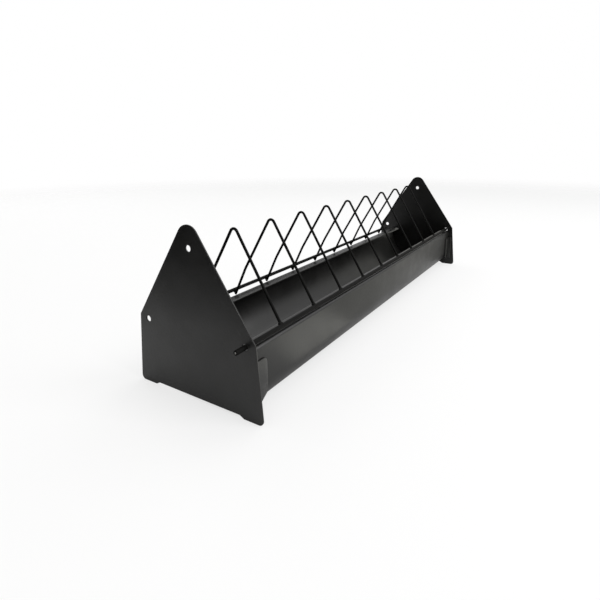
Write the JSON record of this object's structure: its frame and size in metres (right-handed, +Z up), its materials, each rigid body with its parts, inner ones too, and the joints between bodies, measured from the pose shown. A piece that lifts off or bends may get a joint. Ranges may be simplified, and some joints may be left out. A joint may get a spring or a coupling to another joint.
{
  "type": "feed trough",
  "caption": "Long sheet-steel feed trough that stands on two house-shaped end plates, under a hinged grille of bent wire bails.",
  "frame": {"origin": "on the ground, under the middle of the two end plates", "axes": "+X along the trough from the left end plate to the right one, +Y from the hinge side to the free side of the grille, +Z up"},
  "size_m": [0.52, 0.1292, 0.1385],
  "materials": {
    "black_sheet_paint": "semi-gloss black paint on sheet steel",
    "black_wire_paint": "semi-gloss black paint on steel wire"
  },
  "bodies": {
    "trough_body": {"end_plate_left": "black_sheet_paint", "end_plate_right": "black_sheet_paint", "trough": "black_sheet_paint", "angle_left_front": "black_sheet_paint", "angle_left_rear": "black_sheet_paint", "angle_right_front": "black_sheet_paint", "angle_right_rear": "black_sheet_paint"},
    "grille": {"hinge_rod": "black_wire_paint", "rear_rod": "black_wire_paint", "bail_1": "black_wire_paint", "bail_2": "black_wire_paint", "bail_3": "black_wire_paint", "bail_4": "black_wire_paint", "bail_5": "black_wire_paint", "bail_6": "black_wire_paint", "bail_7": "black_wire_paint", "bail_8": "black_wire_paint", "bail_9": "black_wire_paint"}
  },
  "joints": [
    {"name": "grille_hinge", "type": "hinge", "parent": "trough_body", "child": "grille", "pos_m": [0, -0.0505, 0.0567], "axis": [1, 0, 0], "range_deg": [0, 110]}
  ]
}
